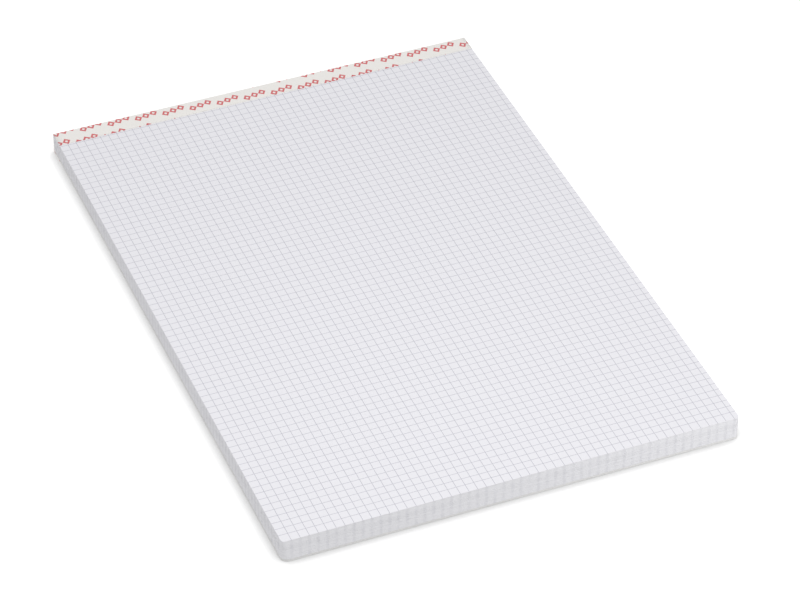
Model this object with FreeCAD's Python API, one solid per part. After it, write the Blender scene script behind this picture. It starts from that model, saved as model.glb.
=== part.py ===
"""Squared writing pad bound at its head, in millimetres.

A stack of sheets lies on a grey backing board. A film of padding glue on the head edge holds the sheets
and the board together. A paper strip is folded over that head: its front flap lies on the top sheet, its
spine covers the glue, and its back flap lies under the board. The bound head is pressed tight, and the
free sheets stand a little higher towards the foot.

Frame: +X across the sheets to the reader's right, +Y towards the bound head, +Z up.
The origin is at the middle of the pad's footprint, on the surface that the pad lies on.
"""
import FreeCAD
import Part
import math
import os
from FreeCAD import Vector

# The sheets
SHEET_WIDTH = 210.0
SHEET_LENGTH = 306.0
SHEET_COUNT = 100
SHEET_PITCH_AT_HEAD = 0.090
SHEET_PITCH_AT_FOOT = 0.106

# The backing board
BOARD_THICKNESS = 1.0

# The padding glue on the head edge
GLUE_THICKNESS = 0.3

# The binding strip: flaps are measured from the outer face of its spine
STRIP_THICKNESS = 0.2
FRONT_FLAP = 10.2
BACK_FLAP = 14.0
FRONT_FOLD_RADIUS = 0.8
BACK_FOLD_RADIUS = 0.5

# Heights above the surface that the pad lies on: the back flap is its lowest piece
BOARD_UNDERSIDE = STRIP_THICKNESS
BOARD_TOP = BOARD_UNDERSIDE + BOARD_THICKNESS
STACK_TOP_AT_HEAD = BOARD_TOP + SHEET_COUNT * SHEET_PITCH_AT_HEAD
STACK_TOP_AT_FOOT = BOARD_TOP + SHEET_COUNT * SHEET_PITCH_AT_FOOT

# Places along the pad: the footprint runs from the foot edge to the outer face of the spine
FOOTPRINT_LENGTH = SHEET_LENGTH + GLUE_THICKNESS + STRIP_THICKNESS
FOOT_EDGE = -FOOTPRINT_LENGTH / 2
HEAD_EDGE = FOOT_EDGE + SHEET_LENGTH
GLUE_FACE = HEAD_EDGE + GLUE_THICKNESS
SPINE_FACE = GLUE_FACE + STRIP_THICKNESS
LEFT_EDGE = -SHEET_WIDTH / 2

# Reach of the cutting blocks past the pad
BEYOND = 5.0


def stack_top(y):
    """Height of the top sheet at a place along the pad."""
    share = (y - FOOT_EDGE) / SHEET_LENGTH
    return STACK_TOP_AT_FOOT + share * (STACK_TOP_AT_HEAD - STACK_TOP_AT_FOOT)


def side_point(y, z):
    """A point of the pad's side outline, drawn on the left edge."""
    return Vector(LEFT_EDGE, y, z)


def left_of(start, end):
    """Unit vector to the left of a run of the outline, seen with +Y to the right and +Z up."""
    run = (end - start).normalize()
    return Vector(0, -run.z, run.y)


def offset_path(points, distance):
    """Corner points of a path that runs beside the given one, to its left, at a distance."""
    shifted = []
    for start, end in zip(points, points[1:]):
        move = left_of(start, end) * distance
        shifted.append((start + move, end + move))
    corners = [shifted[0][0]]
    for (a, b), (c, d) in zip(shifted, shifted[1:]):
        first, second = b - a, d - c
        cross = first.y * second.z - first.z * second.y
        reach = ((c.y - a.y) * second.z - (c.z - a.z) * second.y) / cross
        corners.append(a + first * reach)
    corners.append(shifted[-1][1])
    return corners


def rounded_path(points, radii):
    """Edges of an open path whose inner corners are rounded, one radius for each inner corner."""
    edges = []
    here = points[0]
    for before, corner, after, radius in zip(points, points[1:], points[2:], radii):
        back = (before - corner).normalize()
        ahead = (after - corner).normalize()
        half_angle = back.getAngle(ahead) / 2
        tangent = radius / math.tan(half_angle)
        middle = (back + ahead).normalize()
        centre = corner + middle * (radius / math.sin(half_angle))
        arc_start = corner + back * tangent
        arc_end = corner + ahead * tangent
        edges.append(Part.LineSegment(here, arc_start).toShape())
        edges.append(Part.Arc(arc_start, centre - middle * radius, arc_end).toShape())
        here = arc_end
    edges.append(Part.LineSegment(here, points[-1]).toShape())
    return edges


def across_the_pad(edges):
    """Solid of a closed side outline, drawn out from the left edge to the right edge."""
    wire = Part.Wire(Part.__sortEdges__(edges))
    return Part.Face(wire).extrude(Vector(SHEET_WIDTH, 0, 0))


def block_between(y_low, y_high, z_low, z_high):
    """Block over the pad's whole width and a margin, for cutting the bound stack into its pieces."""
    return Part.makeBox(
        SHEET_WIDTH + 2 * BEYOND,
        y_high - y_low,
        z_high - z_low,
        Vector(LEFT_EDGE - BEYOND, y_low, z_low),
    )


def inner_fold():
    """Corner points of the strip's inner face, from the front flap's free edge to the back flap's."""
    front_edge = SPINE_FACE - FRONT_FLAP
    back_edge = SPINE_FACE - BACK_FLAP
    return [
        side_point(front_edge, stack_top(front_edge)),
        side_point(GLUE_FACE, stack_top(GLUE_FACE)),
        side_point(GLUE_FACE, BOARD_UNDERSIDE),
        side_point(back_edge, BOARD_UNDERSIDE),
    ]


def bound_stack():
    """Sheets, board and glue as one form: its head corners are pressed round under the strip's folds."""
    outline = [
        side_point(FOOT_EDGE, STACK_TOP_AT_FOOT),
        side_point(GLUE_FACE, stack_top(GLUE_FACE)),
        side_point(GLUE_FACE, BOARD_UNDERSIDE),
        side_point(FOOT_EDGE, BOARD_UNDERSIDE),
    ]
    edges = rounded_path(outline, (FRONT_FOLD_RADIUS, BACK_FOLD_RADIUS))
    edges.append(Part.LineSegment(outline[-1], outline[0]).toShape())
    return across_the_pad(edges)


def make_page_block(stack):
    """The sheets, as one solid."""
    top = max(STACK_TOP_AT_HEAD, STACK_TOP_AT_FOOT) + BEYOND
    return stack.common(block_between(FOOT_EDGE - BEYOND, HEAD_EDGE, BOARD_TOP, top))


def make_backing_board(stack):
    """The grey board under the sheets, trimmed flush with them."""
    return stack.common(block_between(FOOT_EDGE - BEYOND, HEAD_EDGE, BOARD_UNDERSIDE - BEYOND, BOARD_TOP))


def make_head_glue(stack):
    """The film of padding glue on the head edges of the sheets and the board."""
    top = max(STACK_TOP_AT_HEAD, STACK_TOP_AT_FOOT) + BEYOND
    return stack.common(block_between(HEAD_EDGE, GLUE_FACE + BEYOND, BOARD_UNDERSIDE - BEYOND, top))


def make_binding_strip():
    """The paper strip folded over the head: front flap, round fold, spine, round fold, back flap."""
    inner = inner_fold()
    outer = offset_path(inner, STRIP_THICKNESS)
    inner_radii = (FRONT_FOLD_RADIUS, BACK_FOLD_RADIUS)
    outer_radii = tuple(radius + STRIP_THICKNESS for radius in inner_radii)
    edges = rounded_path(inner, inner_radii) + rounded_path(outer, outer_radii)
    edges.append(Part.LineSegment(inner[0], outer[0]).toShape())
    edges.append(Part.LineSegment(inner[-1], outer[-1]).toShape())
    return across_the_pad(edges)


def main():
    """Build every piece and write one STEP file for each."""
    stack = bound_stack()
    pieces = {
        "page_block": make_page_block(stack),
        "backing_board": make_backing_board(stack),
        "head_glue": make_head_glue(stack),
        "binding_strip": make_binding_strip(),
    }
    os.makedirs("parts", exist_ok=True)
    for name, shape in pieces.items():
        solid = shape.Solids[0]
        print(f"{name}: {len(shape.Solids)} solid, {solid.Volume:.1f} mm3, valid {solid.isValid()}")
        solid.exportStep(f"parts/{name}.step")


main()
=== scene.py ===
"""A squared writing pad bound at its head, dressed for its portrait.

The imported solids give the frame, and the glue keeps its solid and gets its finish here. The sheets are
made again as trimmed edges under a ruled top sheet, the board with blunted foot corners, and the binding
strip as a folded paper band with a printed ornament. Lengths are in millimetres, and in metres where a
class says so. Meshes are made in metres.
"""
import logging
import math
import random
from dataclasses import dataclass, field
from enum import Enum
from typing import Iterable, Sequence, Union

import bmesh
import bpy
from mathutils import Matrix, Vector, noise

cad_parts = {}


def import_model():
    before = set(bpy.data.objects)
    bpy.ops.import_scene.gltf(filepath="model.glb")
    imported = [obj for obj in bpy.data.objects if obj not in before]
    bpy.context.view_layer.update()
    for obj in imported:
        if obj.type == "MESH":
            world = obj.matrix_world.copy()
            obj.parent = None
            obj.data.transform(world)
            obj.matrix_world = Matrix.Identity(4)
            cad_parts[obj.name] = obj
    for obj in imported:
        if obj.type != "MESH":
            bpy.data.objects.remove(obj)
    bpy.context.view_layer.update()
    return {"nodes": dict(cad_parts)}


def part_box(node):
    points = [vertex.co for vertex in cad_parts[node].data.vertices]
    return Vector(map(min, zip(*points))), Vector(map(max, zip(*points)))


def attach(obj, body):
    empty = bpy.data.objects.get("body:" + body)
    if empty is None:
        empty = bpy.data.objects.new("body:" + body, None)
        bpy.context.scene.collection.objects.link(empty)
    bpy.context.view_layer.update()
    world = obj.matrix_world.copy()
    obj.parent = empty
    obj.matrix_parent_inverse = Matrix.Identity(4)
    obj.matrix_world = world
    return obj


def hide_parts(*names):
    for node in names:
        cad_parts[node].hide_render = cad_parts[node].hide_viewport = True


LOG = logging.getLogger("writing_pad")
MM = 0.001

Colour = tuple[float, float, float]
Range = tuple[float, float]
Spot = tuple[float, float]
Axes = tuple[float, float, float]
Source = Union["Value", bpy.types.NodeSocket, float, Sequence[float]]
Skin = list[list[bmesh.types.BMVert]]
Ring = list[tuple[bmesh.types.BMVert, "Side"]]

PAPER_WHITE: Colour = (0.838, 0.833, 0.873)

# Places of the colour sockets of Blender's Mix node, which has sockets of one name for every data type
MIX_FIRST = 6
MIX_SECOND = 7
MIX_RESULT = 2


class Map(Enum):
    """UV maps: the places that patterns read, and the one that a bake is made through."""

    BAKE = "OFBake"
    EDGES = "edges"
    PRINT = "print"


class Side(Enum):
    """The four trimmed sides of a sheet, in the order in which its outline runs."""

    FOOT = 0
    RIGHT = 1
    HEAD = 2
    LEFT = 3

    @property
    def ahead(self) -> Spot:
        """Direction in which the outline runs along this side."""
        return ((1.0, 0.0), (0.0, 1.0), (-1.0, 0.0), (0.0, -1.0))[self.value]

    @property
    def crosswise(self) -> bool:
        """Whether this side runs across the pad, as the foot and the head do."""
        return self in (Side.FOOT, Side.HEAD)


class SheetFace(Enum):
    """Faces of the sheets with a finish of their own, numbered in the order of the piece's materials."""

    PAPER = 0
    INK = 1
    TRIMMED = 2


class Slot(Enum):
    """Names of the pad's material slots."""

    PAPER = "writing_paper"
    BOARD = "grey_board"
    GLUE = "padding_glue"
    STRIP = "strip_paper"


def rgba(colour: Colour) -> tuple[float, float, float, float]:
    """Give a colour its full alpha."""
    return (*colour, 1.0)


@dataclass(frozen=True)
class Value:
    """A value that changes over a surface. Arithmetic on it adds Math nodes."""

    wiring: "Wiring"
    socket: bpy.types.NodeSocket

    def __add__(self, other: Source) -> "Value":
        """The sum."""
        return self.wiring.maths("ADD", self, other)

    def __sub__(self, other: Source) -> "Value":
        """The difference."""
        return self.wiring.maths("SUBTRACT", self, other)

    def __rsub__(self, other: float) -> "Value":
        """A plain number less this value."""
        return self.wiring.maths("SUBTRACT", other, self)

    def __mul__(self, other: Source) -> "Value":
        """The product."""
        return self.wiring.maths("MULTIPLY", self, other)

    def __truediv__(self, other: Source) -> "Value":
        """The quotient."""
        return self.wiring.maths("DIVIDE", self, other)

    def __abs__(self) -> "Value":
        """The value without its sign."""
        return self.wiring.maths("ABSOLUTE", self)


@dataclass
class Wiring:
    """A node tree, and the few ways in which this file adds to it."""

    tree: bpy.types.NodeTree

    def node(self, kind: str, **settings: object) -> bpy.types.Node:
        """Add a node.

        Args:
            kind: Blender's name for the node.
            settings: Properties of the node and their values.

        Returns:
            The new node.
        """
        made = self.tree.nodes.new(kind)
        for name, value in settings.items():
            setattr(made, name, value)
        return made

    def feed(self, socket: bpy.types.NodeSocket, source: Source) -> None:
        """Link a socket to its source, or set the socket's own value where the source is a plain one.

        Args:
            socket: The socket to feed.
            source: A value, another socket, a number or a colour.
        """
        if isinstance(source, Value):
            source = source.socket
        if isinstance(source, bpy.types.NodeSocket):
            self.tree.links.new(source, socket)
        else:
            socket.default_value = source

    def value(self, socket: bpy.types.NodeSocket) -> Value:
        """Take a node's output as a value to reckon with."""
        return Value(self, socket)

    def maths(self, operation: str, *operands: Source) -> Value:
        """Add a Math node.

        Args:
            operation: Blender's name for the sum.
            operands: A value or a number for each input in turn.

        Returns:
            The result.
        """
        made = self.node("ShaderNodeMath", operation=operation)
        for socket, operand in zip(made.inputs, operands):
            self.feed(socket, operand)
        return self.value(made.outputs[0])

    def spread(
        self, value: Source, low: Source, high: Source, to_low: Source = 0.0, to_high: Source = 1.0
    ) -> Value:
        """Map a value from one range to another, and hold it at the ends.

        Args:
            value: The value to map.
            low: The value that becomes to_low.
            high: The value that becomes to_high.
            to_low: The result at low.
            to_high: The result at high.

        Returns:
            The mapped value.
        """
        made = self.node("ShaderNodeMapRange", interpolation_type="LINEAR", clamp=True)
        names = ("Value", "From Min", "From Max", "To Min", "To Max")
        for name, source in zip(names, (value, low, high, to_low, to_high)):
            self.feed(made.inputs[name], source)
        return self.value(made.outputs["Result"])

    def mix(self, share: Source, first: Source, second: Source) -> bpy.types.NodeSocket:
        """Mix two colours.

        Args:
            share: How much of the second colour there is, from 0 to 1.
            first: A colour.
            second: Another colour.

        Returns:
            The mixed colour.
        """
        made = self.node("ShaderNodeMix", data_type="RGBA", clamp_factor=True)
        self.feed(made.inputs["Factor"], share)
        self.feed(made.inputs[MIX_FIRST], first)
        self.feed(made.inputs[MIX_SECOND], second)
        return made.outputs[MIX_RESULT]

    def toned(self, colour: Source, tone: Source) -> bpy.types.NodeSocket:
        """Multiply a colour by a number.

        Args:
            colour: The colour.
            tone: The number, near 1.

        Returns:
            The darker or lighter colour.
        """
        made = self.node("ShaderNodeVectorMath", operation="SCALE")
        self.feed(made.inputs[0], colour)
        self.feed(made.inputs["Scale"], tone)
        return made.outputs[0]

    def noise(self, place: Source, scale: Source, detail: float = 2.0, roughness: float = 0.5) -> Value:
        """Add a noise texture.

        Args:
            place: The coordinates that it reads.
            scale: Its repeats for each unit of the coordinates.
            detail: Its octaves.
            roughness: How strong the finer octaves are.

        Returns:
            A value that is about 0.5 on average.
        """
        made = self.node("ShaderNodeTexNoise")
        self.feed(made.inputs["Vector"], place)
        self.feed(made.inputs["Scale"], scale)
        made.inputs["Detail"].default_value = detail
        made.inputs["Roughness"].default_value = roughness
        return self.value(made.outputs["Fac"])

    def stretched(self, place: Source, scale: Sequence[float], turn: float = 0.0) -> bpy.types.NodeSocket:
        """Stretch coordinates.

        Args:
            place: The coordinates.
            scale: The factor along each axis.
            turn: A turn about Z, in radians.

        Returns:
            The stretched coordinates.
        """
        made = self.node("ShaderNodeMapping")
        self.feed(made.inputs["Vector"], place)
        made.inputs["Scale"].default_value = scale
        made.inputs["Rotation"].default_value = (0.0, 0.0, turn)
        return made.outputs["Vector"]

    def group(self, tree: bpy.types.NodeTree, **sources: Source) -> bpy.types.Node:
        """Place a node group.

        Args:
            tree: The group.
            sources: What feeds each input, with underscores for the spaces in its name.

        Returns:
            The group's node.
        """
        made = self.node("ShaderNodeGroup", node_tree=tree)
        for name, source in sources.items():
            self.feed(made.inputs[name.replace("_", " ")], source)
        return made


def bare_wiring(owner: bpy.types.Material | bpy.types.World) -> Wiring:
    """Switch on the nodes of a material or a world, and clear them.

    Args:
        owner: The material or the world.

    Returns:
        Its wiring.
    """
    owner.use_nodes = True
    owner.node_tree.nodes.clear()
    return Wiring(owner.node_tree)


def new_group(
    name: str, inputs: dict[str, float | None], outputs: Iterable[str]
) -> tuple[Wiring, dict[str, Value]]:
    """Start a shader node group.

    Args:
        name: The group's name.
        inputs: Each input's name and default value, or None where it takes a vector.
        outputs: The names of the values that it puts out.

    Returns:
        The group's wiring, and the value that each input gives.
    """
    tree = bpy.data.node_groups.new(name, "ShaderNodeTree")
    for label, value in inputs.items():
        kind = "NodeSocketVector" if value is None else "NodeSocketFloat"
        socket = tree.interface.new_socket(label, in_out="INPUT", socket_type=kind)
        if value is not None:
            socket.default_value = value
    for label in outputs:
        tree.interface.new_socket(label, in_out="OUTPUT", socket_type="NodeSocketFloat")
    wiring = Wiring(tree)
    given = wiring.node("NodeGroupInput")
    return wiring, {label: wiring.value(given.outputs[label]) for label in inputs}


def paper_grain() -> bpy.types.NodeTree:
    """Build the felted surface that every paper and board shows, at a size that the material sets.

    Returns:
        A group with Tone, a factor near 1, and Height, the relief from 0 to 1.
    """
    wiring, given = new_group(
        "Paper grain",
        {"Place": None, "Fibres per metre": 2500.0, "Tone spread": 0.02, "Cloud spread": 0.01},
        ("Tone", "Height"),
    )
    place, pitch = given["Place"], given["Fibres per metre"]
    lays = (((1.0, 0.22, 1.0), 12.0), ((0.26, 1.0, 1.0), -31.0))
    fibres_per_cloud = 22.0
    along, across = (
        wiring.noise(wiring.stretched(place, stretch, math.radians(turn)), pitch, detail=3.0, roughness=0.6)
        for stretch, turn in lays
    )
    felt = (along + across) * 0.5
    clouds = wiring.noise(place, pitch / fibres_per_cloud)
    tone = (felt - 0.5) * given["Tone spread"] + (clouds - 0.5) * given["Cloud spread"] + 1.0
    put_out = wiring.node("NodeGroupOutput")
    wiring.feed(put_out.inputs["Tone"], tone)
    wiring.feed(put_out.inputs["Height"], felt)
    return wiring.tree


def layer_tones() -> bpy.types.NodeTree:
    """Build the fine streaks that a cut stack of layers shows, from a count that grows by one a layer.

    Returns:
        A group with Tone, a factor near 1, and Shift, a number for each layer from -0.5 to 0.5.
    """
    wiring, given = new_group(
        "Layer tones", {"Layer": 0.0, "Along": 0.0, "Tone spread": 0.03, "Seed": 0.0}, ("Tone", "Shift")
    )
    streak_step = 7.3
    seeded = wiring.maths("FLOOR", given["Layer"]) + given["Seed"]
    per_layer = wiring.node("ShaderNodeTexWhiteNoise", noise_dimensions="1D")
    wiring.feed(per_layer.inputs["W"], seeded)
    shift = wiring.value(per_layer.outputs["Value"]) - 0.5
    joined = wiring.node("ShaderNodeCombineXYZ")
    wiring.feed(joined.inputs["X"], given["Along"])
    wiring.feed(joined.inputs["Y"], seeded * streak_step)
    streaks = wiring.noise(joined.outputs[0], 1.0) - 0.5
    put_out = wiring.node("NodeGroupOutput")
    wiring.feed(put_out.inputs["Tone"], (shift + streaks) * given["Tone spread"] + 1.0)
    wiring.feed(put_out.inputs["Shift"], shift)
    return wiring.tree


def lozenge_ornament() -> bpy.types.NodeTree:
    """Build a printed ornament: slanted chains of three open lozenges, printed with a broad line.

    The chains stand in gently falling rows, and each row is shifted along from the last.
    All sizes are in the unit of the coordinates.

    Returns:
        A group with Ink, 1 inside the ornament and 0 outside.
    """
    wiring, given = new_group(
        "Lozenge ornament",
        {
            "Place": None,
            "Repeat": 13.4,
            "Rise": -0.9,
            "Row shift": 5.0,
            "Row height": 8.8,
            "Slant": math.radians(12),
            "Link": 4.1,
            "Links each side": 1.5,
            "Half width": 2.05,
            "Half height": 2.25,
            "Stroke": 1.38,
            "Edge softness": 0.06,
        },
        ("Ink",),
    )
    apart = wiring.node("ShaderNodeSeparateXYZ")
    wiring.feed(apart.inputs[0], given["Place"])
    x, y = wiring.value(apart.outputs["X"]), wiring.value(apart.outputs["Y"])
    repeat, rise, row_shift, row_height = (
        given[name] for name in ("Repeat", "Rise", "Row shift", "Row height")
    )
    area = repeat * row_height - row_shift * rise
    in_column = wiring.maths("FRACT", (x * row_height - y * row_shift) / area) - 0.5
    in_row = wiring.maths("FRACT", (y * repeat - x * rise) / area) - 0.5
    near_x = in_column * repeat + in_row * row_shift
    near_y = in_column * rise + in_row * row_height
    cosine, sine = wiring.maths("COSINE", given["Slant"]), wiring.maths("SINE", given["Slant"])
    links = (near_x * cosine + near_y * sine) / given["Link"]
    up = abs(near_y * cosine - near_x * sine)
    in_link = wiring.maths("FRACT", links + given["Links each side"]) - 0.5
    across = abs(in_link * given["Link"])
    reach = across / given["Half width"] + up / given["Half height"]
    rim = (1.0 - reach) * given["Half height"]
    outline = wiring.maths("MINIMUM", rim, given["Stroke"] - rim)
    inside = wiring.maths("MINIMUM", outline, given["Links each side"] - abs(links))
    half_soft = given["Edge softness"] * 0.5
    put_out = wiring.node("NodeGroupOutput")
    wiring.feed(put_out.inputs["Ink"], wiring.spread(inside, half_soft * -1.0, half_soft))
    return wiring.tree


@dataclass
class Groups:
    """The node groups that the materials share, each built once."""

    grain: bpy.types.NodeTree = field(default_factory=paper_grain)
    layers: bpy.types.NodeTree = field(default_factory=layer_tones)
    ornament: bpy.types.NodeTree = field(default_factory=lozenge_ornament)


@dataclass(frozen=True)
class Relief:
    """Fine unevenness of a surface: how much of its bump shows, and its depth in metres."""

    strength: float
    depth: float


class Surface:
    """A material in the making: its wiring, its Principled shader, and how a finish is put on them."""

    felt_range: Range = (0.3, 0.7)

    def __init__(self, name: str) -> None:
        """Start a material.

        Args:
            name: The material's name.
        """
        self.material = bpy.data.materials.new(name)
        self.wiring = bare_wiring(self.material)
        self.shader = self.wiring.node("ShaderNodeBsdfPrincipled")
        output = self.wiring.node("ShaderNodeOutputMaterial")
        self.wiring.tree.links.new(self.shader.outputs["BSDF"], output.inputs["Surface"])

    def place(self) -> bpy.types.NodeSocket:
        """Read the place on the object, in metres."""
        return self.wiring.node("ShaderNodeTexCoord").outputs["Object"]

    def uv_place(self, uv_map: Map) -> bpy.types.NodeSocket:
        """Read the place on one of the piece's UV maps."""
        return self.wiring.node("ShaderNodeUVMap", uv_map=uv_map.value).outputs["UV"]

    def finished(
        self,
        colour: Source,
        roughness: float | Range,
        shine: float,
        height: Source | None = None,
        relief: Relief | None = None,
    ) -> bpy.types.Material:
        """Put a finish on the shader.

        Args:
            colour: The colour over the surface.
            roughness: One roughness, or that of the hollows and that of the heights.
            shine: The specular level.
            height: The fine relief, from 0 to 1.
            relief: How that relief shows as a bump.

        Returns:
            The material.
        """
        if isinstance(roughness, tuple):
            roughness = self.wiring.spread(height, *self.felt_range, *roughness)
        self.wiring.feed(self.shader.inputs["Base Color"], colour)
        self.wiring.feed(self.shader.inputs["Roughness"], roughness)
        self.shader.inputs["Specular IOR Level"].default_value = shine
        if relief is not None:
            bump = self.wiring.node("ShaderNodeBump")
            bump.inputs["Strength"].default_value = relief.strength
            bump.inputs["Distance"].default_value = relief.depth
            self.wiring.feed(bump.inputs["Height"], height)
            self.wiring.feed(self.shader.inputs["Normal"], bump.outputs["Normal"])
        return self.material


@dataclass(frozen=True)
class Grain:
    """How a paper's or a board's felted surface shows: its scale, and how far fibres and clouds tone it."""

    fibres_per_metre: float = 2500.0
    tone_spread: float = 0.02
    cloud_spread: float = 0.01

    def placed(self, wiring: Wiring, groups: Groups, place: Source) -> bpy.types.Node:
        """Place the shared grain in a material, with these values.

        Args:
            wiring: The material's wiring.
            groups: The shared node groups.
            place: The coordinates that the grain reads.

        Returns:
            The group's node.
        """
        return wiring.group(
            groups.grain,
            Place=place,
            Fibres_per_metre=self.fibres_per_metre,
            Tone_spread=self.tone_spread,
            Cloud_spread=self.cloud_spread,
        )


@dataclass(frozen=True)
class PaperFinish:
    """Uncoated writing paper, white with a faint cool tint."""

    name: str = "writing_paper"
    colour: Colour = PAPER_WHITE
    grain: Grain = Grain(2600.0, 0.035, 0.012)
    roughness: Range = (0.72, 0.86)
    shine: float = 0.35
    relief: Relief = Relief(0.35, 0.00002)

    def material(self, groups: Groups) -> bpy.types.Material:
        """Make the material.

        Args:
            groups: The shared node groups.

        Returns:
            The material.
        """
        surface = Surface(self.name)
        grain = self.grain.placed(surface.wiring, groups, surface.place())
        colour = surface.wiring.toned(self.colour, grain.outputs["Tone"])
        return surface.finished(colour, self.roughness, self.shine, grain.outputs["Height"], self.relief)


@dataclass(frozen=True)
class RulingFinish:
    """Pale offset ink of the printed squares, thin enough for the paper's grain to break it up."""

    name: str = "ruling_ink"
    paper: Colour = PAPER_WHITE
    ink: Colour = (0.475, 0.475, 0.535)
    cover: Range = (0.72, 1.0)
    speckles_per_metre: float = 5200.0
    speckle_range: Range = (0.35, 0.6)
    grain: Grain = Grain(tone_spread=0.03)
    roughness: float = 0.74
    shine: float = 0.35

    def material(self, groups: Groups) -> bpy.types.Material:
        """Make the material.

        Args:
            groups: The shared node groups.

        Returns:
            The material.
        """
        surface = Surface(self.name)
        wiring, place = surface.wiring, surface.place()
        grain = self.grain.placed(wiring, groups, place)
        speckles = wiring.noise(place, self.speckles_per_metre)
        cover = wiring.spread(speckles, *self.speckle_range, *self.cover)
        inked = wiring.mix(cover, rgba(self.paper), rgba(self.ink))
        return surface.finished(wiring.toned(inked, grain.outputs["Tone"]), self.roughness, self.shine)


@dataclass(frozen=True)
class TrimmedEdgeFinish:
    """Cut edges of the stacked sheets, each with its own tone, ticked where the printed lines run off.

    Both sides of a sheet are ruled, so there are two sets of ticks, each wandering by a seed of its own.
    Places are counted in squares along the edge and in sheets up the stack.
    """

    name: str = "trimmed_sheet_edges"
    colour: Colour = (0.765, 0.763, 0.786)
    tick: Colour = (0.50, 0.50, 0.54)
    tick_cover: Range = (0.07, 0.27)
    tick_half_width: float = 0.13
    tick_softness: float = 0.4
    tick_wander: float = 0.20
    seeds: tuple[float, float] = (3.0, 211.0)
    before_first_line: float = -0.5
    patch_stretch: Axes = (0.8, 0.025, 1.0)
    patch_range: Range = (0.35, 0.65)
    tone_spread: float = 0.035
    grain: Grain = Grain(6000.0, 0.06)
    roughness: float = 0.88
    shine: float = 0.3
    relief: Relief = Relief(0.3, 0.00002)

    def material(self, groups: Groups) -> bpy.types.Material:
        """Make the material.

        Args:
            groups: The shared node groups.

        Returns:
            The material.
        """
        surface = Surface(self.name)
        wiring, on_edge = surface.wiring, surface.uv_place(Map.EDGES)
        apart = wiring.node("ShaderNodeSeparateXYZ")
        wiring.feed(apart.inputs[0], on_edge)
        squares, sheets = wiring.value(apart.outputs["X"]), wiring.value(apart.outputs["Y"])
        spread = self.tone_spread
        front, back = (
            wiring.group(groups.layers, Layer=sheets, Along=squares, Tone_spread=spread, Seed=seed)
            for seed in self.seeds
        )
        ticks = wiring.maths("MAXIMUM", *(self.ticks(wiring, squares, layer) for layer in (front, back)))
        patches = wiring.noise(wiring.stretched(on_edge, self.patch_stretch), 1.0, detail=1.0)
        cover = ticks * wiring.spread(patches, *self.patch_range, *self.tick_cover)
        inked = wiring.mix(cover, rgba(self.colour), rgba(self.tick))
        grain = self.grain.placed(wiring, groups, surface.place())
        colour = wiring.toned(inked, wiring.value(front.outputs["Tone"]) * grain.outputs["Tone"])
        return surface.finished(colour, self.roughness, self.shine, grain.outputs["Height"], self.relief)

    def ticks(self, wiring: Wiring, squares: Value, layer: bpy.types.Node) -> Value:
        """Mark where the lines of one side of the sheets run off.

        Args:
            wiring: The material's wiring.
            squares: The place along the edge, in squares, whole on a line.
            layer: The node that gives each sheet its own shift.

        Returns:
            1 on a tick, and 0 between the ticks and before the first line.
        """
        place = squares + wiring.value(layer.outputs["Shift"]) * self.tick_wander
        off = abs(place - wiring.maths("ROUND", place))
        ruled = wiring.maths("GREATER_THAN", squares, self.before_first_line)
        outside = self.tick_half_width * (1.0 + self.tick_softness)
        inside = self.tick_half_width * (1.0 - self.tick_softness)
        return ruled * wiring.spread(off, outside, inside)


@dataclass(frozen=True)
class Fleck:
    """Stray fibres in the board: colour, stretch, number a metre, and where and how strongly they show."""

    colour: Colour
    stretch: Axes
    per_metre: float
    shown_range: Range
    strength: float

    def over(self, wiring: Wiring, place: Source, colour: Source) -> bpy.types.NodeSocket:
        """Lay the fibres over a colour.

        Args:
            wiring: The material's wiring.
            place: The coordinates that they are scattered over.
            colour: The colour under them.

        Returns:
            The flecked colour.
        """
        spots = wiring.noise(wiring.stretched(place, self.stretch), self.per_metre, detail=1.0)
        cover = wiring.spread(spots, *self.shown_range) * self.strength
        return wiring.mix(cover, colour, rgba(self.colour))


@dataclass(frozen=True)
class BoardFinish:
    """Matt recycled grey board with a fine fleck, and the plies that its cut edge shows."""

    name: str = "recycled_grey_board"
    colour: Colour = (0.715, 0.712, 0.705)
    flecks: tuple[Fleck, ...] = (
        Fleck((0.44, 0.43, 0.42), (1.0, 0.45, 1.0), 1500.0, (0.68, 0.74), 0.8),
        Fleck((0.82, 0.81, 0.79), (0.5, 1.0, 1.0), 1150.0, (0.67, 0.75), 0.7),
    )
    ply_stretch: Axes = (1.0, 1.0, 9.0)
    grain: Grain = Grain(1100.0, 0.22, 0.06)
    roughness: Range = (0.80, 0.95)
    shine: float = 0.25
    relief: Relief = Relief(0.5, 0.00005)

    def material(self, groups: Groups) -> bpy.types.Material:
        """Make the material.

        Args:
            groups: The shared node groups.

        Returns:
            The material.
        """
        surface = Surface(self.name)
        plies = surface.wiring.stretched(surface.place(), self.ply_stretch)
        grain = self.grain.placed(surface.wiring, groups, plies)
        flecked = rgba(self.colour)
        for fleck in self.flecks:
            flecked = fleck.over(surface.wiring, plies, flecked)
        colour = surface.wiring.toned(flecked, grain.outputs["Tone"])
        return surface.finished(colour, self.roughness, self.shine, grain.outputs["Height"], self.relief)


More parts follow.
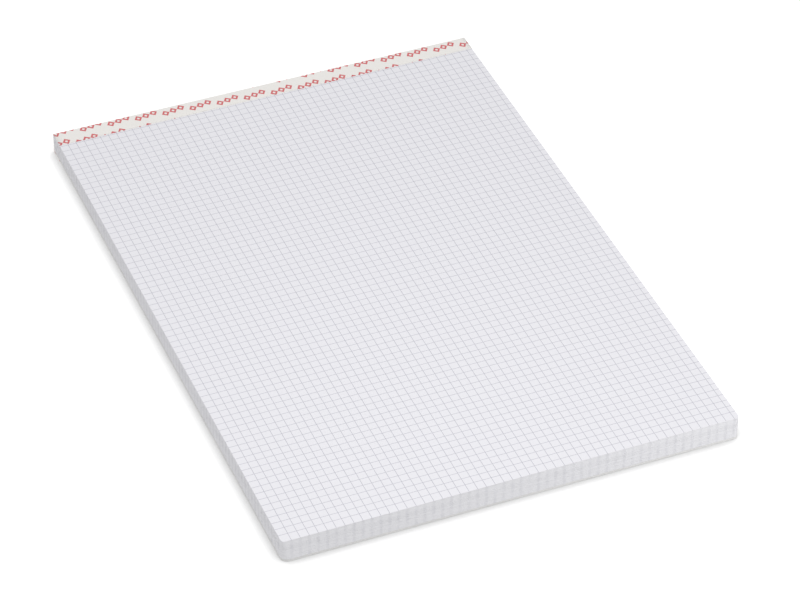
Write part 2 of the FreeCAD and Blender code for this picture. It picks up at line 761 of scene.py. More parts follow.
@dataclass(frozen=True)
class GlueFinish:
    """Dried padding glue: a milky, slightly glossy film brushed on along the head."""

    name: str = "dried_padding_glue"
    colour: Colour = (0.86, 0.84, 0.78)
    thin: Colour = (0.80, 0.79, 0.76)
    brush_stretch: Axes = (0.12, 1.0, 1.0)
    brush_marks_per_metre: float = 900.0
    roughness: Range = (0.28, 0.5)
    shine: float = 0.5
    relief: Relief = Relief(0.4, 0.00006)

    def material(self) -> bpy.types.Material:
        """Make the material.

        Returns:
            The material.
        """
        surface = Surface(self.name)
        wiring = surface.wiring
        place = wiring.stretched(surface.place(), self.brush_stretch)
        brushed = wiring.noise(place, self.brush_marks_per_metre, detail=3.0)
        colour = wiring.mix(brushed, rgba(self.thin), rgba(self.colour))
        return surface.finished(colour, self.roughness, self.shine, brushed, self.relief)


@dataclass(frozen=True)
class StripFinish:
    """Smooth off-white binding paper, printed in red."""

    name: str = "printed_binding_paper"
    colour: Colour = (0.865, 0.845, 0.815)
    ink: Colour = (0.64, 0.105, 0.115)
    cover: Range = (0.80, 0.97)
    speckles_per_metre: float = 3800.0
    speckle_range: Range = (0.3, 0.55)
    grain: Grain = Grain(3400.0, 0.03, 0.015)
    roughness: Range = (0.52, 0.68)
    shine: float = 0.4
    relief: Relief = Relief(0.25, 0.000015)

    def material(self, groups: Groups) -> bpy.types.Material:
        """Make the material.

        Args:
            groups: The shared node groups.

        Returns:
            The material.
        """
        surface = Surface(self.name)
        wiring, place = surface.wiring, surface.place()
        grain = self.grain.placed(wiring, groups, place)
        ornament = wiring.group(groups.ornament, Place=surface.uv_place(Map.PRINT))
        speckles = wiring.noise(place, self.speckles_per_metre)
        cover = wiring.spread(speckles, *self.speckle_range, *self.cover) * ornament.outputs["Ink"]
        printed = wiring.mix(cover, rgba(self.colour), rgba(self.ink))
        colour = wiring.toned(printed, grain.outputs["Tone"])
        return surface.finished(colour, self.roughness, self.shine, grain.outputs["Height"], self.relief)


class PieceMesh:
    """A mesh in the making, with the UV maps that its piece needs."""

    def __init__(self, *maps: Map) -> None:
        """Start an empty mesh.

        Args:
            maps: The UV maps that it gets.
        """
        self.built = bmesh.new()
        self.layers = {each: self.built.loops.layers.uv.new(each.value) for each in maps}

    def vert(self, x: float, y: float, z: float) -> bmesh.types.BMVert:
        """Add a vertex, given in millimetres."""
        return self.built.verts.new(Vector((x, y, z)) * MM)

    def face(self, verts: Iterable[bmesh.types.BMVert]) -> bmesh.types.BMFace:
        """Add a face."""
        return self.built.faces.new(tuple(verts))

    def lay(self, loop: bmesh.types.BMLoop, uv_map: Map, place: Spot) -> None:
        """Give a corner of a face its place on a UV map."""
        loop[self.layers[uv_map]].uv = place

    def link(self, name: str, materials: Iterable[bpy.types.Material]) -> bpy.types.Object:
        """Turn the finished mesh into an object of the scene, at the origin.

        Args:
            name: The piece's name.
            materials: The piece's materials, in the order of its faces' indices.

        Returns:
            The new object.
        """
        mesh = bpy.data.meshes.new(name)
        self.built.to_mesh(mesh)
        self.built.free()
        for material in materials:
            mesh.materials.append(material)
        piece = bpy.data.objects.new(name, mesh)
        bpy.context.scene.collection.objects.link(piece)
        return piece


@dataclass(frozen=True)
class Patch:
    """A rectangle of the bake map that one face of a piece is spread over."""

    left: float
    low: float
    right: float
    high: float

    def at(self, across: float, up: float) -> Spot:
        """Place a point of the face, given as shares of its width and its height, on the bake map."""
        return (
            self.left + (self.right - self.left) * across,
            self.low + (self.high - self.low) * up,
        )

    def raised(self, rise: float) -> "Patch":
        """The same rectangle, further up on the bake map."""
        return Patch(self.left, self.low + rise, self.right, self.high + rise)


@dataclass
class BoundStack:
    """Heights and edges that the sheets, the board and the strip share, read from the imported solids."""

    sheet_count: int = 100
    pitch_at_head: float = 0.090
    glue_thickness: float = 0.3
    fold_radius: float = 0.8
    left: float = 0.0
    right: float = 0.0
    foot: float = 0.0
    head: float = 0.0
    board_top: float = 0.0
    top_at_foot: float = 0.0

    @classmethod
    def from_frame(cls) -> "BoundStack":
        """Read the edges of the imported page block.

        Returns:
            The stack, in millimetres.
        """
        low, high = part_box("page_block")
        stack = cls()
        stack.left, stack.foot, stack.board_top = (value / MM for value in low)
        stack.right, stack.head, stack.top_at_foot = (value / MM for value in high)
        return stack

    @property
    def top_at_head(self) -> float:
        """Height of the top sheet at the head."""
        return self.board_top + self.sheet_count * self.pitch_at_head

    @property
    def board_underside(self) -> float:
        """Height of the board's lower face."""
        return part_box("backing_board")[0].z / MM

    @property
    def slope(self) -> float:
        """Rise of the top sheet for each millimetre towards the head, negative as the foot is higher."""
        return (self.top_at_head - self.top_at_foot) / (self.head - self.foot)

    def top(self, y: float) -> float:
        """Height of the top sheet at a place along the pad."""
        return self.top_at_foot + (y - self.foot) * self.slope

    def height(self, y: float, sheets: float) -> float:
        """Height of the face between two sheets.

        Args:
            y: The place along the pad.
            sheets: How many sheets lie below that face.

        Returns:
            The height above the surface that the pad lies on.
        """
        return self.board_top + (self.top(y) - self.board_top) * sheets / self.sheet_count

    def square(self, end: float) -> tuple[Spot, ...]:
        """Square corners of a sheet that ends at a place, in the order in which its outline runs."""
        return (self.left, self.foot), (self.right, self.foot), (self.right, end), (self.left, end)

    def head_end(self, sheets: float) -> float:
        """End of a sheet at the head, where the top ones are pressed round under the strip's fold.

        Args:
            sheets: How many sheets lie below the face that is asked for.

        Returns:
            The place along the pad.
        """
        centre = self.head + self.glue_thickness - self.fold_radius
        above = self.height(centre, sheets) - (self.top(centre) - self.fold_radius)
        if above <= 0.0:
            return self.head
        reach = math.sqrt(max(self.fold_radius ** 2 - above ** 2, 0.0))
        return min(self.head, centre + reach)


@dataclass
class SquaredRuling:
    """Printed squares of the sheets: where each line lies, and how the print is turned on the paper."""

    pitch: float = 3.985
    line_width: float = 0.25
    lines_across: int = 52
    lines_along: int = 76
    first_from_left: float = 4.1
    first_from_foot: float = 4.5
    turn: float = 0.0010

    def across(self, stack: BoundStack) -> list[float]:
        """Middles of the lines that run from foot to head, at the pad's middle."""
        first = stack.left + self.first_from_left
        return [first + self.pitch * index for index in range(self.lines_across)]

    def along(self, stack: BoundStack) -> list[float]:
        """Middles of the lines that run from left to right, at the pad's middle."""
        first = stack.foot + self.first_from_foot
        return [first + self.pitch * index for index in range(self.lines_along)]

    def borders(self, lines: Sequence[float], low: float, high: float) -> list[float]:
        """Places where paper and ink meet along one axis.

        Args:
            lines: The middles of the lines.
            low: The sheet's lower edge.
            high: The sheet's upper edge.

        Returns:
            The edges and both sides of every line, in order. Ink lies after each odd entry.
        """
        half = self.line_width / 2
        return [low, *(line + side for line in lines for side in (-half, half)), high]

    def turned(self, x: float, y: float) -> Spot:
        """Place of a printed point on the sheet, once the print is turned a little on the paper."""
        return x - self.turn * y, y + self.turn * x


@dataclass(frozen=True)
class WornCorners:
    """Radii of the pad's softly blunted foot corners. The left one is blunted most at the board."""

    left_at_board: float = 3.4
    left_at_top: float = 1.5
    right_at_board: float = 1.9
    right_at_top: float = 1.7
    steps: int = 6

    def radius(self, side: Side, share: float) -> float:
        """Radius of the corner where a side's run starts.

        Args:
            side: The foot for the left foot corner, or the right side for the right one.
            share: The height in the stack, from 0 at the board to 1 at the top sheet.

        Returns:
            The radius.
        """
        if side is Side.FOOT:
            return self.left_at_board + (self.left_at_top - self.left_at_board) * share
        return self.right_at_board + (self.right_at_top - self.right_at_board) * share

    def rounded(self, corners: Sequence[Spot], share: float) -> list[tuple[float, float, Side]]:
        """Round the foot corners of a sheet's outline.

        Args:
            corners: Its four square corners, from the left foot corner round by the right one.
            share: The sheet's height in the stack, from 0 to 1.

        Returns:
            The outline's points, each with the side that the run from it lies on.
        """
        found = []
        for side, (x, y) in zip(Side, corners):
            before = Side((side.value - 1) % len(Side))
            if side in (Side.HEAD, Side.LEFT):
                found.append((x, y, side))
                continue
            (before_x, before_y), (ahead_x, ahead_y) = before.ahead, side.ahead
            radius = self.radius(side, share)
            for step in range(self.steps + 1):
                turn = math.pi / 2 * step / self.steps
                back, on = radius * (1.0 - math.sin(turn)), radius * (1.0 - math.cos(turn))
                found.append((
                    x - before_x * back + ahead_x * on,
                    y - before_y * back + ahead_y * on,
                    before if step < self.steps / 2 else side,
                ))
        return found


@dataclass
class SheetStack:
    """The sheets: trimmed edges of the stack, and the ruled top sheet on it."""

    stack: BoundStack
    worn: WornCorners = WornCorners()
    ruling: SquaredRuling = field(default_factory=SquaredRuling)
    seed: int = 41
    most_inset: float = 0.07
    corner_inset: float = 0.035
    level_margin: float = 0.02
    cockle: float = 0.05
    cockle_length: float = 46.0
    held_length: float = 18.0
    easing_length: float = 60.0
    top_patch: Patch = Patch(0.01, 0.01, 0.61, 0.89)
    ink_patch: Patch = Patch(0.92, 0.92, 0.99, 0.99)
    side_patches: dict[Side, Patch] = field(default_factory=lambda: {
        Side.FOOT: Patch(0.01, 0.91, 0.61, 0.99),
        Side.RIGHT: Patch(0.76, 0.01, 0.86, 0.89),
        Side.HEAD: Patch(0.63, 0.91, 0.90, 0.94),
        Side.LEFT: Patch(0.64, 0.01, 0.74, 0.89),
    })
    hidden_patch: Patch = Patch(0.63, 0.96, 0.90, 0.99)

    def build(
        self, paper: bpy.types.Material, ink: bpy.types.Material, trimmed: bpy.types.Material
    ) -> bpy.types.Object:
        """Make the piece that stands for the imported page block.

        Args:
            paper: Finish of the sheets' faces.
            ink: Finish of the printed lines.
            trimmed: Finish of the trimmed sides.

        Returns:
            The new piece.
        """
        mesh = PieceMesh(Map.BAKE, Map.EDGES)
        self.add_lower_sheets(mesh)
        self.add_top_sheet(mesh)
        return mesh.link("sheet_stack", (paper, ink, trimmed))

    def ring(self, mesh: PieceMesh, sheets: float, insets: Sequence[float]) -> Ring:
        """Add the vertices round one sheet's face, from the left foot corner round by the right one.

        Args:
            mesh: The mesh to add to.
            sheets: How many sheets lie below that face.
            insets: How far each corner is drawn in from the trimmed sides.

        Returns:
            The vertices, each with the side that the run from it lies on.
        """
        stack = self.stack
        end = stack.head_end(sheets)
        corners = (
            (stack.left + insets[0], stack.foot + insets[0]),
            (stack.right - insets[1], stack.foot + insets[1]),
            (stack.right - insets[2], end),
            (stack.left + insets[3], end),
        )
        points = self.worn.rounded(corners, sheets / stack.sheet_count)
        return [(mesh.vert(x, y, stack.height(y, sheets)), side) for x, y, side in points]

    def squares_along(self, side: Side, place: Vector) -> float:
        """Place along a trimmed side, counted in squares from the first line that runs off there.

        Args:
            side: The trimmed side.
            place: A place on it, in metres.

        Returns:
            A number that is whole on a line.
        """
        x, y = place.x / MM, place.y / MM
        if side.crosswise:
            first, run = self.ruling.across(self.stack)[0], x + self.ruling.turn * y
        else:
            first, run = self.ruling.along(self.stack)[0], y - self.ruling.turn * x
        return (run - first) / self.ruling.pitch

    def side_share(self, side: Side, place: Vector) -> float:
        """Place along a side of the pad, as a share of its length.

        Args:
            side: The side.
            place: A place, in metres.

        Returns:
            The share.
        """
        if side.crosswise:
            return (place.x / MM - self.stack.left) / (self.stack.right - self.stack.left)
        return (place.y / MM - self.stack.foot) / (self.stack.head - self.stack.foot)

    def add_cut_edge(self, mesh: PieceMesh, below: Ring, above: Ring, levels: Range) -> None:
        """Join two rings of vertices by a band of trimmed edge, and lay it on both maps.

        Args:
            mesh: The mesh to add to.
            below: The lower ring.
            above: The upper ring, with the side that each run lies on.
            levels: How many sheets lie below each ring.
        """
        low, high = levels
        for here, (vert, side) in enumerate(above):
            there = (here + 1) % len(above)
            face = mesh.face((below[here][0], below[there][0], above[there][0], vert))
            face.material_index = SheetFace.TRIMMED.value
            patch = self.side_patches[side]
            for loop, level in zip(face.loops, (low, low, high, high)):
                share, up = self.side_share(side, loop.vert.co), level / self.stack.sheet_count
                mesh.lay(loop, Map.EDGES, (self.squares_along(side, loop.vert.co), level))
                mesh.lay(loop, Map.BAKE, patch.at(share, up) if side.crosswise else patch.at(up, share))

    def map_flat(self, mesh: PieceMesh, face: bmesh.types.BMFace, patch: Patch) -> None:
        """Spread a level face over a patch of the bake map, as it lies on the whole sheet.

        Args:
            mesh: The mesh.
            face: The face.
            patch: The patch that the whole sheet would fill.
        """
        for loop in face.loops:
            across = self.side_share(Side.FOOT, loop.vert.co)
            up = self.side_share(Side.LEFT, loop.vert.co)
            mesh.lay(loop, Map.BAKE, patch.at(across, up))

    def add_lower_sheets(self, mesh: PieceMesh) -> None:
        """Add the stack under the top sheet as one closed skin, stepped a hair at every sheet.

        Args:
            mesh: The mesh to add to.
        """
        draw = random.Random(self.seed)
        rings: list[tuple[float, Ring]] = []
        for sheet in range(self.stack.sheet_count - 1):
            shift = draw.uniform(0.0, self.most_inset)
            insets = [shift + draw.uniform(0.0, self.corner_inset) for _ in Side]
            for level, margin in ((sheet, self.level_margin), (sheet + 1, -self.level_margin)):
                rings.append((level + margin, self.ring(mesh, level, insets)))
        for (low, below), (high, above) in zip(rings, rings[1:]):
            self.add_cut_edge(mesh, below, above, (low, high))
        for ring in (reversed(rings[0][1]), rings[-1][1]):
            self.map_flat(mesh, mesh.face(vert for vert, _ in ring), self.hidden_patch)

    def lift(self, x: float, y: float) -> float:
        """Height of the top sheet's gentle cockle, which is held down by the strip.

        Args:
            x: The place across the pad.
            y: The place along the pad.

        Returns:
            A small height, from 0 up.
        """
        place = Vector((x, y, 0.0)) / self.cockle_length
        free = (self.stack.head - self.held_length - y) / self.easing_length
        return self.cockle * min(1.0, max(0.0, free)) * (0.5 + 0.5 * noise.noise(place))

    def add_top_sheet(self, mesh: PieceMesh) -> None:
        """Add the top sheet as a closed leaf, with its printed lines as faces of their own.

        Args:
            mesh: The mesh to add to.
        """
        stack, ruling = self.stack, self.ruling
        end = stack.head_end(stack.sheet_count)
        columns = ruling.borders(ruling.across(stack), stack.left, stack.right)
        rows = ruling.borders(ruling.along(stack), stack.foot, end)
        last_column, last_row = len(columns) - 1, len(rows) - 1

        def on_top(x: float, y: float) -> bmesh.types.BMVert:
            """Add a vertex of the sheet's upper face."""
            return mesh.vert(x, y, stack.top(y) + self.lift(x, y))

        def grid_point(column: int, row: int) -> tuple[bmesh.types.BMVert, Side]:
            """Add a grid point: on the turned print inside, and on the trimmed sides at the rim.

            Args:
                column: Its column of the grid.
                row: Its row.

            Returns:
                The vertex, and the side that the run from it lies on where it is on the rim.
            """
            x, y = ruling.turned(columns[column], rows[row])
            if column in (0, last_column):
                x = columns[column]
            if row in (0, last_row):
                y = rows[row]
            if row == 0:
                return on_top(x, y), Side.FOOT
            if column == 0:
                return on_top(x, y), Side.LEFT
            return on_top(x, y), Side.HEAD if row == last_row else Side.RIGHT

        per_corner = self.worn.steps + 1
        rounded = self.worn.rounded(stack.square(end), 1.0)[:2 * per_corner]
        arcs = [(on_top(x, y), side) for x, y, side in rounded]
        upper = {(0, 0): arcs[:per_corner], (last_column, 0): arcs[per_corner:]}
        for column in range(len(columns)):
            for row in range(len(rows)):
                if (column, row) not in upper:
                    upper[column, row] = [grid_point(column, row)]
        for column in range(last_column):
            for row in range(last_row):
                ring = ((column, row), (column + 1, row), (column + 1, row + 1), (column, row + 1))
                face = mesh.face(vert for key in ring for vert, _ in upper[key])
                inked = column % 2 == 1 or row % 2 == 1
                face.material_index = (SheetFace.INK if inked else SheetFace.PAPER).value
                self.map_flat(mesh, face, self.ink_patch if inked else self.top_patch)
        rim = [(column, 0) for column in range(last_column)]
        rim += [(last_column, row) for row in range(last_row)]
        rim += [(column, last_row) for column in range(last_column, 0, -1)]
        rim += [(0, row) for row in range(last_row, 0, -1)]
        self.close_leaf(mesh, [pair for key in rim for pair in upper[key]])

    def close_leaf(self, mesh: PieceMesh, rim: Ring) -> None:
        """Close the top sheet below: its cut edges, and its underside.

        Args:
            mesh: The mesh to add to.
            rim: The vertices round its upper face, each with the side that the run from it lies on.
        """
        count = self.stack.sheet_count
        lower: Ring = []
        for vert, side in rim:
            x, y = vert.co.x / MM, min(vert.co.y / MM, self.stack.head)
            low = self.stack.height(y, count - 1) + self.lift(x, y)
            lower.append((mesh.vert(x, y, low), side))
        self.add_cut_edge(mesh, lower, rim, (count - 1 + self.level_margin, count - self.level_margin))
        self.map_flat(mesh, mesh.face(vert for vert, _ in reversed(lower)), self.hidden_patch)


@dataclass
class BackingBoard:
    """The grey board: foot corners blunted as the sheets' are, head edge eased under the strip's fold."""

    stack: BoundStack
    worn: WornCorners = WornCorners()
    eased_run: float = 0.2
    eased_rise: float = 0.042

    def build(self, finish: bpy.types.Material) -> bpy.types.Object:
        """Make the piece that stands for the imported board.

        Args:
            finish: The grey board's finish.

        Returns:
            The new piece.
        """
        stack, mesh = self.stack, PieceMesh()
        low, high = stack.board_underside, stack.board_top
        plan = [(x, y) for x, y, _ in self.worn.rounded(stack.square(stack.head), 0.0)]
        upper = [mesh.vert(x, y, high) for x, y in plan]
        foot = [mesh.vert(x, y, low) for x, y in plan[:-2]]
        eased = ((stack.head - self.eased_run, low), (stack.head, low + self.eased_rise))
        (flat_right, flat_left), (lip_right, lip_left) = (
            [mesh.vert(x, y, z) for x in (stack.right, stack.left)] for y, z in eased
        )
        mesh.face(upper)
        mesh.face((flat_left, flat_right, *reversed(foot)))
        mesh.face((flat_right, flat_left, lip_left, lip_right))
        mesh.face((lip_right, lip_left, upper[-1], upper[-2]))
        mesh.face((foot[-1], flat_right, lip_right, upper[-2], upper[-3]))
        mesh.face((flat_left, foot[0], upper[0], upper[-1], lip_left))
        for index in range(len(foot) - 1):
            mesh.face((foot[index], foot[index + 1], upper[index + 1], upper[index]))
        bmesh.ops.recalc_face_normals(mesh.built, faces=mesh.built.faces)
        return mesh.link("grey_board", (finish,))


@dataclass(frozen=True)
class Station:
    """A place along the strip's fold, seen from the side: its inner point, outward direction and run."""

    y: float
    z: float
    out_y: float
    out_z: float
    run: float


@dataclass
class BindingStrip:
    """The paper strip folded over the head: front flap, round fold, spine, round fold, back flap."""

    stack: BoundStack
    thickness: float = 0.2
    front_flap: float = 10.2
    back_flap: float = 14.0
    front_radius: float = 0.8
    back_radius: float = 0.5
    columns: int = 72
    straight_steps: int = 8
    arc_steps: int = 12
    ripple: float = 0.035
    ripple_length: float = 17.0
    ripple_run: float = 5.0
    flat_edge: float = 1.5
    seed: float = 5.0
    bands: int = 3
    print_start: Spot = (2.0, 1.4)
    band_patch: Patch = Patch(0.01, 0.01, 0.99, 0.30)
    band_rise: float = 0.31
    plain_patch: Patch = Patch(0.01, 0.94, 0.99, 0.99)

    @property
    def spine_face(self) -> float:
        """Place of the spine's outer face along the pad."""
        return self.stack.head + self.stack.glue_thickness + self.thickness

    def corners(self) -> list[Spot]:
        """Follow the strip's inner face from the side.

        Returns:
            Its corners, from the front flap's free edge to the back flap's.
        """
        stack, underside = self.stack, self.stack.board_underside
        inside = stack.head + stack.glue_thickness
        front, back = self.spine_face - self.front_flap, self.spine_face - self.back_flap
        over = [(front, stack.top(front)), (inside, stack.top(inside))]
        return [*over, (inside, underside), (back, underside)]

    def stations(self) -> list[Station]:
        """Follow the inner face over the head.

        Returns:
            Stations along the straight and the round stretches, with the distance run along the outer face.
        """
        points = [Vector(corner) for corner in self.corners()]
        radii = (self.front_radius, self.back_radius)
        found: list[Station] = []
        run = 0.0
        here = points[0]
        for index, (start, corner) in enumerate(zip(points, points[1:])):
            ahead = (corner - start).normalized()
            out = Vector((-ahead.y, ahead.x))
            last = index == len(radii)
            target = corner
            if not last:
                leaving = (points[index + 2] - corner).normalized()
                turn = ahead.angle(leaving)
                radius = radii[index]
                target = corner - ahead * (radius * math.tan(turn / 2))
            length = (target - here).length
            for step in range(0 if index == 0 else 1, self.straight_steps + 1):
                share = step / self.straight_steps
                point = here.lerp(target, share)
                found.append(Station(point.x, point.y, out.x, out.y, run + length * share))
            run += length
            if last:
                break
            centre = target - out * radius
            for step in range(1, self.arc_steps + 1):
                angle = -turn * step / self.arc_steps
                way = Vector((
                    out.x * math.cos(angle) - out.y * math.sin(angle),
                    out.x * math.sin(angle) + out.y * math.cos(angle),
                ))
                point = centre + way * radius
                travelled = (radius + self.thickness) * turn * step / self.arc_steps
                found.append(Station(point.x, point.y, way.x, way.y, run + travelled))
            run += (radius + self.thickness) * turn
            here = centre + way * radius
        return found

    def swell(self, x: float, station: Station, total: float) -> float:
        """How far the glued paper stands off in its faint ripples, which its free edges hold flat.

        Args:
            x: The place across the pad.
            station: The place along the fold.
            total: The whole run of the strip.

        Returns:
            A small distance outward.
        """
        place = Vector((x / self.ripple_length, station.run / self.ripple_run, self.seed))
        wave = 0.5 + 0.5 * noise.noise(place)
        from_edge = min(station.run, total - station.run) / self.flat_edge
        return self.ripple * wave * min(1.0, from_edge)

    def build(self, finish: bpy.types.Material) -> bpy.types.Object:
        """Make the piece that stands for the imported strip.

        Args:
            finish: The printed paper.

        Returns:
            The new piece.
        """
        mesh, stations = PieceMesh(Map.BAKE, Map.PRINT), self.stations()
        total, last = stations[-1].run, len(stations) - 1
        width = self.stack.right - self.stack.left
        across_pad = [self.stack.left + width * column / self.columns for column in range(self.columns + 1)]
        outer: Skin = []
        inner: Skin = []
        for x in across_pad:
            outer.append([])
            inner.append([])
            for station in stations:
                stand = self.thickness + self.swell(x, station, total)
                y, z = station.y + station.out_y * stand, station.z + station.out_z * stand
                inner[-1].append(mesh.vert(x, station.y, station.z))
                outer[-1].append(mesh.vert(x, min(y, self.spine_face), max(z, 0.0)))

        def face(corners: Sequence[tuple[Skin, int, int]], shown: bool) -> None:
            """Add one face, and lay it on the maps: the outer face in bands, the rest on a plain patch.

            Args:
                corners: The skin, the column and the station of each corner.
                shown: Whether the face is one of the printed outer face.
            """
            made = mesh.face(skin[column][index] for skin, column, index in corners)
            made.smooth = shown
            per_band = self.columns // self.bands
            band = min(min(column for _, column, _ in corners) // per_band, self.bands - 1)
            patch = self.band_patch.raised(self.band_rise * band)
            for loop, (_, column, index) in zip(made.loops, corners):
                run = stations[index].run
                print_x, print_y = across_pad[column] + self.print_start[0], run + self.print_start[1]
                mesh.lay(loop, Map.PRINT, (print_x, print_y))
                in_band, share = (column - band * per_band) / per_band, run / total
                plain = self.plain_patch.at(column / self.columns, share)
                mesh.lay(loop, Map.BAKE, patch.at(in_band, 1.0 - share) if shown else plain)

        for column in range(self.columns):
            for index in range(last):
                ring = ((column, index), (column, index + 1), (column + 1, index + 1), (column + 1, index))
                face([(outer, *spot) for spot in ring], True)
                face([(inner, *spot) for spot in reversed(ring)], False)
            for index, first, second in ((0, outer, inner), (last, inner, outer)):
                edge = ((first, column), (first, column + 1), (second, column + 1), (second, column))
                face([(*spot, index) for spot in edge], False)
        for index in range(last):
            for column, first, second in ((0, inner, outer), (self.columns, outer, inner)):
                edge = ((first, index), (first, index + 1), (second, index + 1), (second, index))
                face([(skin, column, station) for skin, station in edge], False)
        bmesh.ops.recalc_face_normals(mesh.built, faces=mesh.built.faces)
        return mesh.link("head_strip", (finish,))


def aimed(name: str, data: bpy.types.ID, place: Sequence[float], aim: Sequence[float]) -> bpy.types.Object:
    """Add a lamp or a camera to the scene, aimed at a place.

    Args:
        name: The object's name.
        data: The lamp or the camera.
        place: Where it stands.
        aim: What it points at.

    Returns:
        The object.
    """
    placed = bpy.data.objects.new(name, data)
    placed.location = place
    facing = Vector(aim) - Vector(place)
    placed.rotation_euler = facing.to_track_quat("-Z", "Y").to_euler()
    bpy.context.scene.collection.objects.link(placed)
    return placed


@dataclass(frozen=True)
class SoftLamp:
    """A round soft lamp: where it hangs and what it points at, in metres, its width and its power."""

    name: str
    place: Axes
    aim: Axes
    width: float
    power: float

    def hang(self) -> bpy.types.Object:
        """Add the lamp to the scene.

        Returns:
            The lamp.
        """
        lamp = bpy.data.lights.new(self.name, "AREA")
        lamp.shape = "DISK"
        lamp.size = self.width
        lamp.energy = self.power
        hung = aimed(self.name, lamp, self.place, self.aim)
        hung.visible_camera = False
        return hung


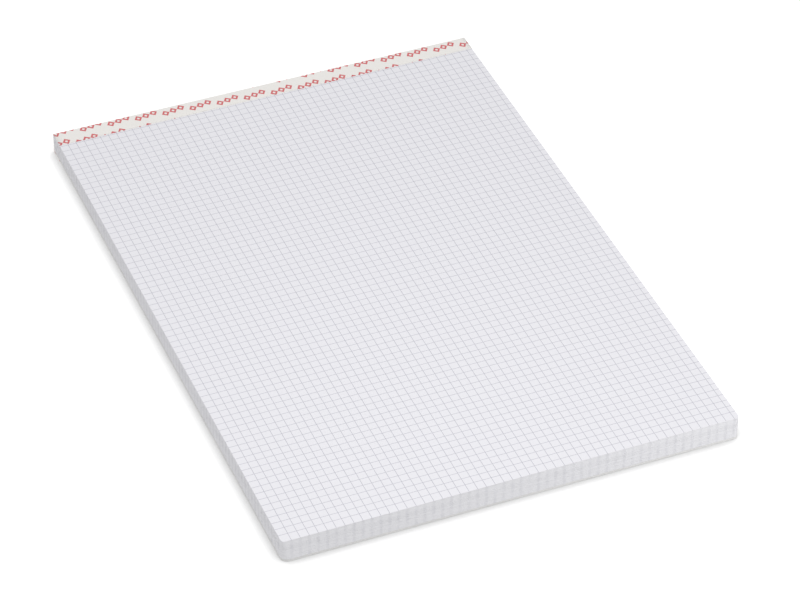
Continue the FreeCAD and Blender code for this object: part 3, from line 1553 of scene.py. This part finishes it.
@dataclass
class Studio:
    """White floor with a painted contact shadow, even white surroundings, two soft lamps and the camera.
    Lengths are in metres.
    """

    floor_size: float = 6.0
    floor_colour: Colour = (0.86, 0.86, 0.86)
    floor_seen_share: float = 0.58
    floor_glow: float = 0.70
    # The floor's glow is dimmed to this near the pad, within the reach below, as a painted contact shadow.
    glow_in_painted_shadow: float = 0.30
    painted_shadow_reach: float = 0.008
    painted_shadow_samples: int = 16
    painted_shadow_ramp: Range = (0.50, 0.90)
    surroundings: float = 0.85
    surroundings_colour: Colour = (1.0, 1.0, 1.0)
    overhead: SoftLamp = SoftLamp("overhead_lamp", (-0.04, -0.16, 0.38), (-0.03, -0.12, 0.0), 0.3, 0.24)
    corner: SoftLamp = SoftLamp("corner_lamp", (0.20, -0.36, 0.06), (0.09, -0.15, 0.01), 0.1, 0.125)
    camera_place: Axes = (-0.4883, -1.2320, 1.0760)
    camera_aim: Axes = (0.0025, -0.0176, 0.0055)
    lens: float = 169.87
    sensor: float = 36.0
    seen_from: float = 0.01
    seen_to: float = 50.0

    def seen_directly(self, wiring: Wiring) -> Value:
        """Tell whether a surface is seen, or only lights others.

        Args:
            wiring: The wiring of its material, or of the world.

        Returns:
            1 where the camera, a reflection or glass shows it, and 0 elsewhere.
        """
        path = wiring.node("ShaderNodeLightPath")
        rays = (path.outputs["Is Glossy Ray"], path.outputs["Is Transmission Ray"])
        mirrored = wiring.maths("MAXIMUM", *rays)
        return wiring.maths("MAXIMUM", path.outputs["Is Camera Ray"], mirrored)

    def add_floor(self) -> bpy.types.Object:
        """Lay the floor, which shows as white. Its matt part keeps the pad's real shadow, and its glow is
        dimmed near the pad as a painted contact shadow.

        Returns:
            The floor.
        """
        material = bpy.data.materials.new("studio_floor")
        wiring = bare_wiring(material)
        seen = self.seen_directly(wiring)
        matt = wiring.node("ShaderNodeBsdfDiffuse")
        share = wiring.spread(seen, 0.0, 1.0, 1.0, self.floor_seen_share)
        wiring.feed(matt.inputs["Color"], wiring.toned(self.floor_colour, share))
        # Painted contact shadow: ambient occlusion near the pad dims the glow that makes the floor white,
        # besides the real shadow in the matt part.
        near = wiring.node("ShaderNodeAmbientOcclusion", samples=self.painted_shadow_samples)
        near.inputs["Distance"].default_value = self.painted_shadow_reach
        painted_shadow_glows = (self.glow_in_painted_shadow, self.floor_glow)
        glow_under_painted_shadow = wiring.spread(near.outputs["AO"], *self.painted_shadow_ramp, *painted_shadow_glows)
        glow = wiring.node("ShaderNodeEmission")
        wiring.feed(glow.inputs["Strength"], seen * glow_under_painted_shadow)
        both = wiring.node("ShaderNodeAddShader")
        output = wiring.node("ShaderNodeOutputMaterial")
        wiring.tree.links.new(matt.outputs[0], both.inputs[0])
        wiring.tree.links.new(glow.outputs[0], both.inputs[1])
        wiring.tree.links.new(both.outputs[0], output.inputs["Surface"])
        mesh = PieceMesh()
        bmesh.ops.create_grid(mesh.built, x_segments=1, y_segments=1, size=self.floor_size / 2)
        return mesh.link("studio_floor", (material,))

    def light_surroundings(self) -> None:
        """Light the pad evenly from all round, and show white where the floor ends."""
        world = bpy.data.worlds.new("studio_surroundings")
        wiring = bare_wiring(world)
        background = wiring.node("ShaderNodeBackground")
        background.inputs["Color"].default_value = rgba(self.surroundings_colour)
        strength = wiring.spread(self.seen_directly(wiring), 0.0, 1.0, self.surroundings, 1.0)
        wiring.feed(background.inputs["Strength"], strength)
        output = wiring.node("ShaderNodeOutputWorld")
        wiring.tree.links.new(background.outputs[0], output.inputs["Surface"])
        bpy.context.scene.world = world

    def add_camera(self) -> bpy.types.Object:
        """Set up the camera: a long lens, held level and aimed near the pad's middle.

        Returns:
            The camera.
        """
        camera = bpy.data.cameras.new("portrait_camera")
        camera.lens = self.lens
        camera.sensor_width = self.sensor
        camera.sensor_fit = "HORIZONTAL"
        camera.clip_start = self.seen_from
        camera.clip_end = self.seen_to
        placed = aimed("portrait_camera", camera, self.camera_place, self.camera_aim)
        bpy.context.scene.camera = placed
        return placed


def dress_node(node: bpy.types.Object, finish: bpy.types.Material, slot: Slot) -> bpy.types.Object:
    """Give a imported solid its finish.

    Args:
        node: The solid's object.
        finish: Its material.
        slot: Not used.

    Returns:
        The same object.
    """
    node.data.materials.clear()
    node.data.materials.append(finish)
    return node


def set_piece(piece: bpy.types.Object, replaced: str, slot: Slot) -> bpy.types.Object:
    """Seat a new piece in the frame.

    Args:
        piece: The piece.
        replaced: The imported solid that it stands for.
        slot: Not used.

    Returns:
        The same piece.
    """
    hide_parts(replaced)
    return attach(piece, "root")


def report(piece: bpy.types.Object) -> None:
    """Log what a piece is made of."""
    size = ", ".join(f"{value / MM:.1f}" for value in piece.dimensions)
    LOG.info("%s: %d faces, %s mm", piece.name, len(piece.data.polygons), size)


def main() -> None:
    """Load the frame, then make and dress the pad piece by piece."""
    logging.basicConfig(level=logging.INFO, format="%(name)s: %(message)s")
    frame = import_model()
    bpy.context.scene.view_settings.view_transform = "Standard"
    groups = Groups()
    studio = Studio()
    studio.add_camera()
    studio.light_surroundings()
    studio.overhead.hang()
    studio.corner.hang()
    studio.add_floor()
    stack = BoundStack.from_frame()
    sheets = SheetStack(stack).build(
        PaperFinish().material(groups),
        RulingFinish().material(groups),
        TrimmedEdgeFinish().material(groups),
    )
    report(set_piece(sheets, "page_block", Slot.PAPER))
    strip = BindingStrip(stack).build(StripFinish().material(groups))
    report(set_piece(strip, "binding_strip", Slot.STRIP))
    board = BackingBoard(stack).build(BoardFinish().material(groups))
    report(set_piece(board, "backing_board", Slot.BOARD))
    report(dress_node(frame["nodes"]["head_glue"], GlueFinish().material(), Slot.GLUE))


if __name__ == "__main__":
    main()
